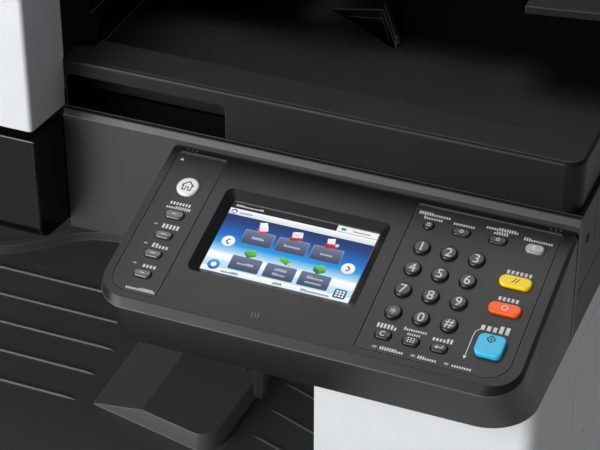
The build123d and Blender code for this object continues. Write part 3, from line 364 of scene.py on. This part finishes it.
def blocks(centre, width, height, seed=0):
    """A row of small blocks in place of a word: even cells of 0.62 height, each block lower or
    full height by a fixed sine hash of its number, all standing on one base line."""
    count = max(2, int(round(width / (0.62 * height))))
    number = np.arange(count)
    tall = 0.66 + 0.34 * (np.sin(number * 12.9 + seed * 7.7 + 1.0) > 0.45)
    middle = centre[0] - width / 2 + (number + 0.5) * width / count
    low = centre[1] - height / 2
    half = 0.31 * width / count
    return [np.array([(x - half, low), (x + half, low), (x + half, low + height * t),
                      (x - half, low + height * t)]) for x, t in zip(middle, tall)]


def place_ink(name, mesh, body, material):
    """A finished ink mesh as a piece that rides on a body and has a finish slot."""
    mesh.materials.append(material)
    piece = bpy.data.objects.new(name, mesh)
    bpy.context.scene.collection.objects.link(piece)
    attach(piece, body)


def ink_layer(name, outlines, height, body, material, colours=None):
    """One flat mesh from closed outlines on the panel, all raised by height, or each by its own."""
    heights = np.broadcast_to(np.asarray(height, float), (len(outlines),))
    sizes = [len(outline) for outline in outlines]
    starts = np.concatenate([[0], np.cumsum(sizes)])
    points = np.concatenate([on_panel(o, h) for o, h in zip(outlines, heights)])
    faces = [tuple(range(starts[i], starts[i + 1])) for i in range(len(outlines))]
    mesh = bpy.data.meshes.new(name)
    mesh.from_pydata(points.tolist(), [], faces)
    mesh.validate()
    if colours is not None:
        tint = mesh.color_attributes.new("tint", "FLOAT_COLOR", "POINT")
        tint.data.foreach_set("color", np.concatenate(colours).ravel())
    place_ink(name, mesh, body, material)


pale_ink = moulded("pale_ink", linear(218, 216, 212), 0.6, grain_size=0.2, grain_depth=0.000004,
                   edge_radius=0.0001)
dark_ink = moulded("dark_ink", linear(24, 24, 26), 0.5, grain_size=0.2, grain_depth=0.000004,
                   edge_radius=0.0001)
grey_ink = moulded("grey_ink", linear(118, 115, 110), 0.6, grain_size=0.2, grain_depth=0.000004,
                   edge_radius=0.0001)

# words beside the keys: centre x, centre s, width, height
RIGHT_WORDS = ((73.8, 51.1, 20.0, 2.4), (73.8, 48.1, 12.0, 2.4), (93.0, 48.4, 13.5, 2.4),
               (115.9, 51.1, 20.0, 2.4), (115.9, 48.1, 9.0, 2.4), (138.8, 48.4, 18.0, 2.4),
               (135.5, 22.6, 16.0, 4.2), (135.3, 2.4, 13.0, 4.2), (134.6, -20.4, 18.0, 5.4),
               (74.5, -36.4, 12.5, 3.3), (91.3, -34.6, 14.0, 2.3), (91.3, -37.6, 8.0, 2.3),
               (108.4, -36.5, 12.5, 3.3), (82.6, -51.9, 14.5, 2.3), (104.0, -51.9, 11.5, 2.3),
               (124.6, -51.9, 12.0, 2.3))
LEFT_WORDS = ((-78.2, 17.0, 14.0, 3.4), (-78.2, 13.1, 16.0, 2.3), (-76.8, -2.2, 11.5, 3.4),
              (-76.8, -18.0, 11.0, 3.4), (-76.8, -33.9, 9.0, 3.4), (-75.0, -52.0, 19.0, 2.4))
right_marks = [b for i, (x, s, w, h) in enumerate(RIGHT_WORDS) for b in blocks((x, s), w, h, i)]
left_marks = [b for i, (x, s, w, h) in enumerate(LEFT_WORDS) for b in blocks((x, s), w, h, i + 20)]
ink_layer("right_mask_print", right_marks, INK_LIFT, "machine", pale_ink)
ink_layer("left_mask_print", left_marks, INK_LIFT, "machine", pale_ink)


# lamps of the function keys and of the status row, small clear windows in the masks
lamp_off = moulded("lamp_off", linear(120, 118, 108), 0.2, grain_size=0.2, grain_depth=0.000002,
                   edge_radius=0.0001, Coat_Weight=0.5)
ink_layer("left_lamps", [rounded((x, s), (2.6, 1.1), 0.5) for x, s in
                         ((-86.6, -1.9), (-86.6, -17.8), (-86.6, -33.8))],
          INK_LIFT, "machine", lamp_off)
ink_layer("status_lamps", [rounded((x, -51.9), (2.8, 1.6), 0.5) for x in (72.4, 95.6, 115.6)],
          INK_LIFT, "machine", lamp_off)
# sweep arrow beside the start key, corner marks and the sensor mark on the bezel
arrow_sweep = [stroke([(127.6, -22.6), (125.4, -23.6), (124.1, -25.6), (123.8, -28.5),
                       (123.8, -36.0), (123.8, -43.6)], 0.45),
               np.array([(122.6, -43.4), (123.8, -45.8), (125.0, -43.4)])]
ink_layer("start_arrow", arrow_sweep, INK_LIFT, "machine", pale_ink)
ink_layer("sensor_mark", [stroke([(-2.0 + k, -52.4), (-1.6 + k, -50.6), (-2.4 + k, -48.6)], 0.45)
                          for k in (-1.9, 0, 1.9)], INK_LIFT, "machine", grey_ink)
ink_layer("corner_marks", [np.array([(-93.2, 50.2), (-90.6, 50.2), (-91.9, 52.4)])],
          INK_LIFT, "machine", pale_ink)

# digits: plain sans numerals and signs on the caps
KEY_X, KEY_S = (74.6, 91.5, 108.5), (24.6, 7.9, -8.8, -25.7)
DIGIT_SIZE = 9.0
# how far the caps stand above the panel's face
DIGIT_TOP, START_TOP, COLOURED_TOP, HOME_TOP, FUNCTION_TOP, SMALL_TOP, LEFT_TOP = (
    2.0, 3.2, 2.2, 1.8, 1.6, 1.4, 1.5)


def glyph(name, text, centre, size, height, body, material):
    """A character as flat ink: the built-in font's outline filled, centred on its own extent,
    then laid on the panel at the height."""
    curve = bpy.data.curves.new(name, "FONT")
    curve.body, curve.size = text, size
    curve.align_x, curve.align_y = "CENTER", "CENTER"
    curve.resolution_u = 4
    text_object = bpy.data.objects.new(name + "_outline", curve)
    bpy.context.scene.collection.objects.link(text_object)
    mesh = bpy.data.meshes.new_from_object(text_object)
    bpy.data.objects.remove(text_object)
    mesh.name = name
    flat = np.zeros(len(mesh.vertices) * 3)
    mesh.vertices.foreach_get("co", flat)
    flat = flat.reshape(-1, 3)[:, :2]
    flat = flat - (flat.min(0) + flat.max(0)) / 2 + np.array(centre)
    mesh.vertices.foreach_set("co", on_panel(flat, height).ravel())
    mesh.update()
    place_ink(name, mesh, body, material)


for index, (node, sign) in enumerate(zip(DIGIT_KEYS, "123456789*0#")):
    glyph(node + "_sign", sign, (KEY_X[index % 3], KEY_S[index // 3]), DIGIT_SIZE,
          DIGIT_TOP + INK_LIFT, node, pale_ink)

# pictograms on the other keys
home = [stroke([(-82.9, 30.2), (-79.0, 33.9)], 0.8), stroke([(-79.0, 33.9), (-75.1, 30.2)], 0.8),
        stroke([(-81.7, 30.6), (-81.7, 26.9)], 0.7), stroke([(-76.3, 30.6), (-76.3, 26.9)], 0.7),
        stroke([(-82.0, 26.9), (-79.9, 26.9)], 0.7), stroke([(-78.1, 26.9), (-76.0, 26.9)], 0.7),
        stroke([(-79.9, 26.6), (-79.9, 29.3)], 0.6), stroke([(-78.1, 26.6), (-78.1, 29.3)], 0.6),
        stroke([(-80.2, 29.3), (-77.8, 29.3)], 0.6)]
ink_layer("home_key_sign", home, HOME_TOP + INK_LIFT, "home_key", dark_ink)
tips = np.array((135.4, -30.4)) + 2.5 * np.array([(1, 0), (0, 1), (-1, 0), (0, -1), (1, 0)])
diamond = [stroke([start, end], 0.7) for start, end in zip(tips[:-1], tips[1:])]
ink_layer("start_key_sign", diamond + [stroke([(135.4, -31.6), (135.4, -29.2)], 0.7)],
          START_TOP + INK_LIFT, "start_key", dark_ink)
ink_layer("stop_key_sign", [arc((135.6, -5.9), 1.7, 0, 360, 0.55, 28)],
          COLOURED_TOP + INK_LIFT, "stop_key", pale_ink)
ink_layer("reset_key_sign", [stroke([(133.6, 12.9), (135.6, 16.5)], 0.55),
                             stroke([(135.6, 12.9), (137.6, 16.5)], 0.55)],
          COLOURED_TOP + INK_LIFT, "reset_key", dark_ink)
crescent = np.concatenate([
    on_circle((138.9, 42.0), 2.0, np.radians(np.linspace(60, 300, 18))),
    on_circle((140.2, 42.0), 1.75, np.radians(np.linspace(262, 98, 14)))])
ink_layer("energy_saver_key_sign", [crescent],
          FUNCTION_TOP + INK_LIFT, "energy_saver_key", pale_ink)
ink_layer("quick_number_key_sign",
          [rounded((91.3 + 1.7 * i, -42.9 + 1.35 * j), (0.9, 0.75), 0.15, 3)
           for i in (-1, 0, 1) for j in (-1, 0, 1)],
          FUNCTION_TOP + INK_LIFT, "quick_number_key", pale_ink)
ink_layer("enter_key_sign", [stroke([(110.2, -41.4), (110.2, -43.3)], 0.5),
                             stroke([(110.4, -43.2), (106.8, -43.2)], 0.5),
                             np.array([(107.4, -44.5), (107.4, -41.9), (105.7, -43.2)])],
          FUNCTION_TOP + INK_LIFT, "enter_key", pale_ink)
ink_layer("clear_key_sign", [arc((74.5, -42.9), 1.5, 50, 310, 0.55)],
          FUNCTION_TOP + INK_LIFT, "clear_key", pale_ink)
for node, x, s in (("system_menu_key", 72.9, 42.1), ("interrupt_key", 93.3, 42.4),
                   ("logout_key", 115.8, 42.4)):
    ink_layer(node + "_sign",
              [arc((x, s), 1.0, 110, 430, 0.4), stroke([(x, s), (x, s + 1.6)], 0.4)],
              SMALL_TOP + INK_LIFT, node, pale_ink)
for node, x, s in (("status_key", -78.3, 7.2), ("copy_key", -78.3, -9.4),
                   ("send_key", -78.5, -24.8), ("fax_key", -78.5, -40.7)):
    ink_layer(node + "_sign", [stroke([(x - 1.4, s), (x + 1.4, s)], 0.6)],
              LEFT_TOP + INK_LIFT, node, pale_ink)

# ------------------------------------------------------------------ touch display
# A backlit colour panel behind a clear front: a menu of six tiles on a blue sky that fades to
# white, two arrow buttons, a title bar and a bottom bar. The picture glows, the front reflects.
SCREEN_LEFT, SCREEN_TOP, SCREEN_LEVEL = -49.0, 30.7, -3.9
SCREEN_WIDTH, SCREEN_HEIGHT = 94.5, 54.8
display_front = moulded("display_front", linear(14, 14, 15), 0.12, grain_size=0.3,
                        grain_depth=0.0000005, edge_radius=0.0002)
dress(display_front, "touch_display")

screen_glow = bpy.data.materials.new("screen_glow")
screen_glow.use_nodes = True
glow_tree = screen_glow.node_tree
glow_surface = glow_tree.nodes["Principled BSDF"]
glow_surface.inputs["Base Color"].default_value = (0.01, 0.01, 0.012, 1)
glow_surface.inputs["Specular IOR Level"].default_value = 0.25
glow_surface.inputs["Emission Strength"].default_value = 1.0
tint_node = glow_tree.nodes.new("ShaderNodeVertexColor")
tint_node.layer_name = "tint"
glow_tree.links.new(tint_node.outputs["Color"], glow_surface.inputs["Emission Color"])
front_place = glow_tree.nodes.new("ShaderNodeTexCoord")
front_haze = glow_tree.nodes.new("ShaderNodeTexNoise")
front_haze.inputs["Scale"].default_value = 900
glow_tree.links.new(front_place.outputs["Object"], front_haze.inputs["Vector"])
glow_tree.links.new(math_node(glow_tree, "MULTIPLY_ADD", front_haze.outputs["Fac"], 0.1),
                    glow_surface.inputs["Roughness"])

picture = []


def draw(outline, colour, layer, lower_colour=None):
    """Add a shape in screen millimetres, u to the right and v down from the top left. Its colour
    runs evenly from the first at its top to the second at its bottom."""
    outline = np.asarray(outline, float)
    depth = (outline[:, 1] - outline[:, 1].min()) / max(np.ptp(outline[:, 1]), 1e-6)
    upper, lower = np.array(linear(*colour)), np.array(linear(*(lower_colour or colour)))
    tint = upper + (lower - upper) * depth[:, None]
    flat = np.stack([SCREEN_LEFT + outline[:, 0], SCREEN_TOP - outline[:, 1]], axis=1)[::-1]
    picture.append((flat, tint[::-1], SCREEN_LEVEL + 0.02 + 0.012 * layer))


def band(u0, v0, u1, v1):
    """The four corners of an upright rectangle."""
    return [(u0, v0), (u1, v0), (u1, v1), (u0, v1)]


SKY = ((0.0, (14, 26, 52)), (9.6, (22, 44, 92)), (16.0, (20, 62, 128)), (25.5, (0, 104, 192)),
       (32.0, (0, 150, 222)), (38.0, (168, 214, 240)), (40.5, (246, 250, 252)),
       (44.0, (240, 248, 252)), (46.0, (196, 228, 244)), (50.8, (180, 220, 240)),
       (54.8, (220, 236, 246)))
for (v0, upper), (v1, lower) in zip(SKY[:-1], SKY[1:]):
    draw(band(0, v0, SCREEN_WIDTH, v1), upper, 0, lower)
draw(band(0, 0, 68.4, 4.5), (20, 22, 28), 1)
draw(band(68.4, 0, SCREEN_WIDTH, 4.5), (236, 238, 240), 1)
draw(band(0, 4.8, SCREEN_WIDTH, 9.5), (250, 250, 250), 1, (214, 220, 226))
draw(disc((3.2, 7.2), 1.9), (30, 90, 150), 2)
draw([(1.9, 7.4), (3.2, 6.0), (4.5, 7.4), (4.5, 8.3), (1.9, 8.3)], (250, 250, 250), 3)
for i, (u, v, w, h, colour) in enumerate(((11.5, 2.3, 18, 1.4, (225, 228, 232)),
                                          (84, 2.3, 11, 1.4, (60, 70, 90)),
                                          (11, 7.2, 8, 1.5, (60, 70, 90)))):
    for block in blocks((u, -v), w, h, i):
        draw(block * (1, -1), colour, 4)
draw(rounded((72.5, 2.3), (3.2, 2.0), 0.4, 3), (40, 150, 90), 2)

TILE_U, TILE_V = (25.3, 47.4, 69.4), (23.9, 44.5)
for row, v in enumerate(TILE_V):
    for column, u in enumerate(TILE_U):
        draw(rounded((u, v), (19.4, 10.9), 1.0), (176, 186, 204), 2, (96, 106, 136))
        draw(rounded((u, v), (18.8, 10.3), 0.8), (104, 114, 142), 3, (58, 66, 94))
        lines = ((u, v - 1.6), (u, v + 1.9)) if (row, column) in ((1, 1), (1, 2)) else ((u, v),)
        for number, (word_u, word_v) in enumerate(lines):
            for block in blocks((word_u, -word_v), 8.0 + 2.5 * ((row + column) % 2), 1.9,
                                row * 3 + column + number):
                draw(block * (1, -1), (196, 202, 216), 5)
# icons on the upper tiles: sheets, an envelope with an arrow, a handset with a sheet
draw([(21.8, 16.6), (26.4, 15.8), (29.2, 18.6), (24.6, 19.6)], (226, 90, 110), 6, (190, 50, 80))
draw([(22.4, 13.6), (27.6, 12.4), (29.2, 16.8), (24.0, 18.0)], (252, 252, 252), 7, (214, 220, 230))
draw([(22.0, 11.6), (26.6, 10.6), (28.0, 14.2), (23.4, 15.4)], (255, 255, 255), 8, (226, 230, 238))
draw(rounded((47.4, 17.4), (7.6, 3.0), 0.8, turn=-0.15), (206, 40, 40), 6, (150, 20, 30))
draw([(43.8, 12.8), (50.2, 11.6), (51.2, 16.0), (44.8, 17.2)], (252, 252, 252), 7, (206, 214, 228))
draw(stroke([(43.8, 12.8), (47.6, 15.0), (50.2, 11.6)], 0.4), (150, 160, 180), 8)
draw([(66.0, 12.0), (70.6, 10.8), (71.8, 15.6), (67.2, 16.8)], (252, 252, 252), 6, (214, 220, 230))
draw(rounded((69.8, 17.0), (8.0, 3.4), 1.2, turn=-0.1), (206, 40, 44), 7, (150, 18, 30))
draw(disc((73.2, 15.6), 1.2), (240, 240, 240), 8, (180, 184, 192))
# icons on the lower tiles: a tray, a memory stick, a network box
draw([(21.8, 34.4), (26.2, 32.4), (29.2, 34.8), (24.8, 37.2)], (120, 210, 70), 6, (50, 150, 40))
draw([(21.8, 34.8), (24.8, 37.4), (24.8, 39.8), (21.8, 37.0)], (60, 150, 50), 7, (30, 100, 36))
draw([(24.8, 37.4), (29.2, 35.0), (29.2, 37.4), (24.8, 39.8)], (90, 180, 60), 8, (40, 120, 40))
draw(rounded((47.2, 35.4), (7.4, 3.6), 1.2, turn=0.5), (110, 206, 80), 6, (40, 140, 50))
draw(rounded((50.8, 37.6), (2.4, 2.0), 0.2, 3, turn=0.5), (226, 230, 236), 7, (150, 156, 166))
draw([(65.8, 33.8), (70.0, 32.0), (73.4, 33.6), (69.2, 35.8)], (130, 214, 80), 6, (60, 160, 50))
draw([(65.8, 34.2), (69.2, 36.2), (69.2, 39.6), (65.8, 37.4)], (50, 140, 50), 7, (26, 96, 36))
draw([(69.2, 36.2), (73.4, 34.0), (73.4, 37.4), (69.2, 39.6)], (84, 176, 60), 8, (40, 116, 40))
# arrow buttons
for u, way in ((8.6, -1), (85.6, 1)):
    draw(disc((u, 30.4), 4.4), (190, 206, 222), 2, (120, 150, 180))
    draw(disc((u, 30.4), 4.0), (255, 255, 255), 3, (222, 230, 238))
    draw(stroke([(u - 0.9 * way, 28.4), (u + 0.35 * way, 29.4), (u + 1.1 * way, 30.4),
                 (u + 0.35 * way, 31.4), (u - 0.9 * way, 32.4)], 0.9), (40, 70, 110), 4)
# bottom bar with a round status button and a grid button
draw(band(0, 50.9, SCREEN_WIDTH, SCREEN_HEIGHT), (252, 253, 254), 1, (226, 234, 242))
draw(disc((6.9, 49.4), 3.9), (90, 160, 220), 2, (20, 80, 160))
draw(disc((6.9, 49.4), 1.8), (230, 240, 250), 3)
draw(rounded((87.6, 49.6), (7.6, 6.8), 1.0), (70, 96, 140), 2, (30, 50, 90))
for i in (-1, 0, 1):
    for j in (-1, 0, 1):
        draw(rounded((87.6 + 2.0 * i, 49.6 + 1.8 * j), (1.4, 1.2), 0.2, 3), (240, 246, 252), 3)
for i, (u, w) in enumerate(((18.5, 11.0), (49, 6.0), (73, 18.0))):
    for block in blocks((u, -52.9), w, 1.9, i + 3):
        draw(block * (1, -1), (70, 80, 100), 4)
ink_layer("screen_picture", [p[0] for p in picture], [p[2] for p in picture], "machine",
          screen_glow, [p[1] for p in picture])

# ------------------------------------------------------------------ floor and light
# A pale matt floor, a broad soft light from the front left, a weaker one from above and behind,
# and a low fill from the left into the tray, in an even pale surround.
floor_mesh = bpy.data.meshes.new("floor")
floor_mesh.from_pydata([(-6, -6, 0), (6, -6, 0), (6, 6, 0), (-6, 6, 0)], [], [(0, 1, 2, 3)])
floor = bpy.data.objects.new("floor", floor_mesh)
bpy.context.scene.collection.objects.link(floor)
floor_mesh.materials.append(moulded("floor_sheet", (0.72, 0.72, 0.71, 1), 0.7, grain_size=8))


def area_light(name, place, target, size, power):
    """A rectangular soft light at a place, aimed at a target."""
    data = bpy.data.lights.new(name, "AREA")
    data.shape, data.size, data.energy = "RECTANGLE", size[0], power
    data.size_y = size[1]
    lamp = bpy.data.objects.new(name, data)
    lamp.location = place
    lamp.rotation_euler = (Vector(target) - Vector(place)).to_track_quat("-Z", "Y").to_euler()
    bpy.context.scene.collection.objects.link(lamp)


area_light("key_light", (-1.5, -2.6, 1.7), (0.05, -0.2, .55), (1.8, 1.6), 76)
area_light("top_light", (-0.5, 0.9, 2.8), (0.05, -0.2, .6), (2.0, 1.4), 24)
area_light("low_light", (-1.0, -2.6, 0.55), (0, -0.2, .45), (1.6, 0.8), 26)
world = bpy.data.worlds.new("studio")
world.use_nodes = True
world.node_tree.nodes["Background"].inputs[0].default_value = (.8, .82, .85, 1)
world.node_tree.nodes["Background"].inputs[1].default_value = 0.2
bpy.context.scene.world = world
bpy.context.scene.view_settings.view_transform = "Standard"
